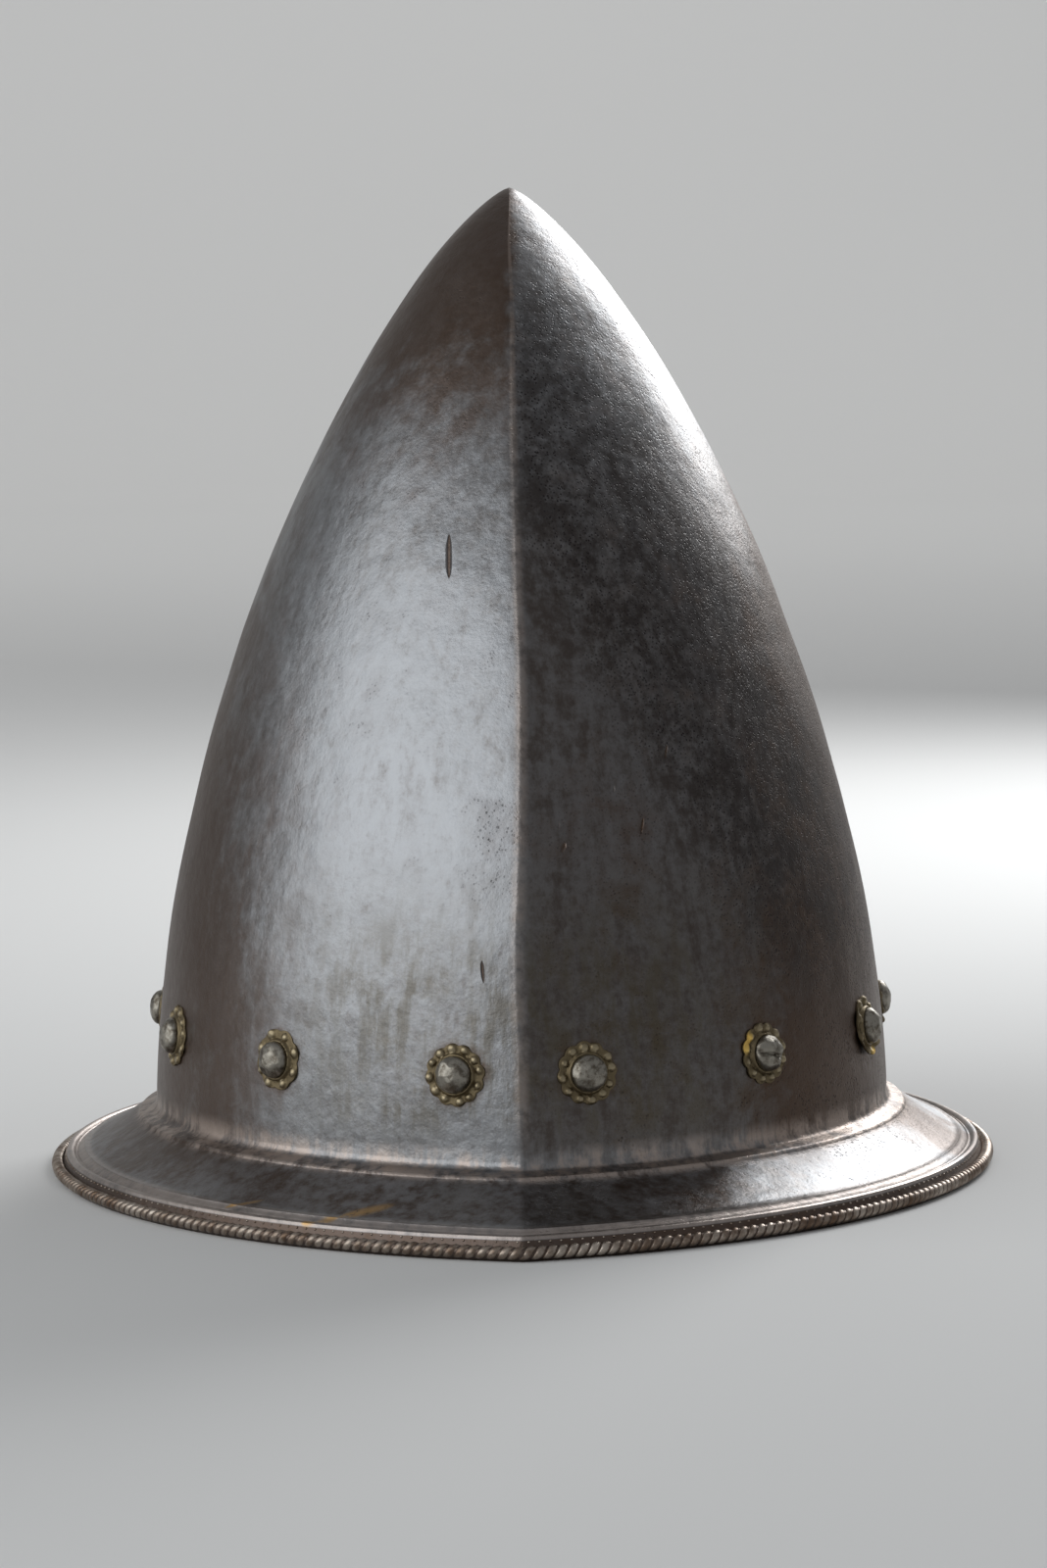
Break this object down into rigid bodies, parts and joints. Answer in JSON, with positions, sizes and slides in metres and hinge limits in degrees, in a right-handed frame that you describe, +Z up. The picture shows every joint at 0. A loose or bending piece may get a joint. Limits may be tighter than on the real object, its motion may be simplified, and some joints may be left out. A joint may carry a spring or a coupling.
{
  "type": "cabasset helmet",
  "caption": "One-piece steel helmet with a pointed, keeled skull, a narrow sloping brim with a roped edge, and brass rosettes under its lining rivets.",
  "frame": {"origin": "on the plane that the turned edge rests on, under the middle of the skull", "axes": "+X across the helmet, +Y along its keel from front to back, so the front faces -Y, and +Z up towards the apex"},
  "size_m": [0.2436, 0.3076, 0.2506],
  "materials": {
    "forged_steel": "hand-forged and once polished, with brown and grey patina, pitting and a worn turned edge",
    "rosette_brass": "thin embossed sheet, dull olive in the hollows and rubbed bright on the bosses",
    "rivet_steel": "hammered dome with flat facets, darkened",
    "band_leather": "vegetable-tanned strip, dry and darkened at the rivets",
    "lining_linen": "unbleached quilted linen, matte"
  },
  "bodies": {
    "root": {"skull": "forged_steel", "rosette_01": "rosette_brass", "rosette_02": "rosette_brass", "rosette_03": "rosette_brass", "rosette_04": "rosette_brass", "rosette_05": "rosette_brass", "rosette_06": "rosette_brass", "rosette_07": "rosette_brass", "rosette_08": "rosette_brass", "rosette_09": "rosette_brass", "rosette_10": "rosette_brass", "rosette_11": "rosette_brass", "rosette_12": "rosette_brass", "rosette_13": "rosette_brass", "rosette_14": "rosette_brass", "lining_rivet_01": "rivet_steel", "lining_rivet_02": "rivet_steel", "lining_rivet_03": "rivet_steel", "lining_rivet_04": "rivet_steel", "lining_rivet_05": "rivet_steel", "lining_rivet_06": "rivet_steel", "lining_rivet_07": "rivet_steel", "lining_rivet_08": "rivet_steel", "lining_rivet_09": "rivet_steel", "lining_rivet_10": "rivet_steel", "lining_rivet_11": "rivet_steel", "lining_rivet_12": "rivet_steel", "lining_rivet_13": "rivet_steel", "lining_rivet_14": "rivet_steel", "rivet_rove_01": "rivet_steel", "rivet_rove_02": "rivet_steel", "rivet_rove_03": "rivet_steel", "rivet_rove_04": "rivet_steel", "rivet_rove_05": "rivet_steel", "rivet_rove_06": "rivet_steel", "rivet_rove_07": "rivet_steel", "rivet_rove_08": "rivet_steel", "rivet_rove_09": "rivet_steel", "rivet_rove_10": "rivet_steel", "rivet_rove_11": "rivet_steel", "rivet_rove_12": "rivet_steel", "rivet_rove_13": "rivet_steel", "rivet_rove_14": "rivet_steel", "lining_band": "band_leather", "lining_cap": "lining_linen"}
  },
  "joints": []
}
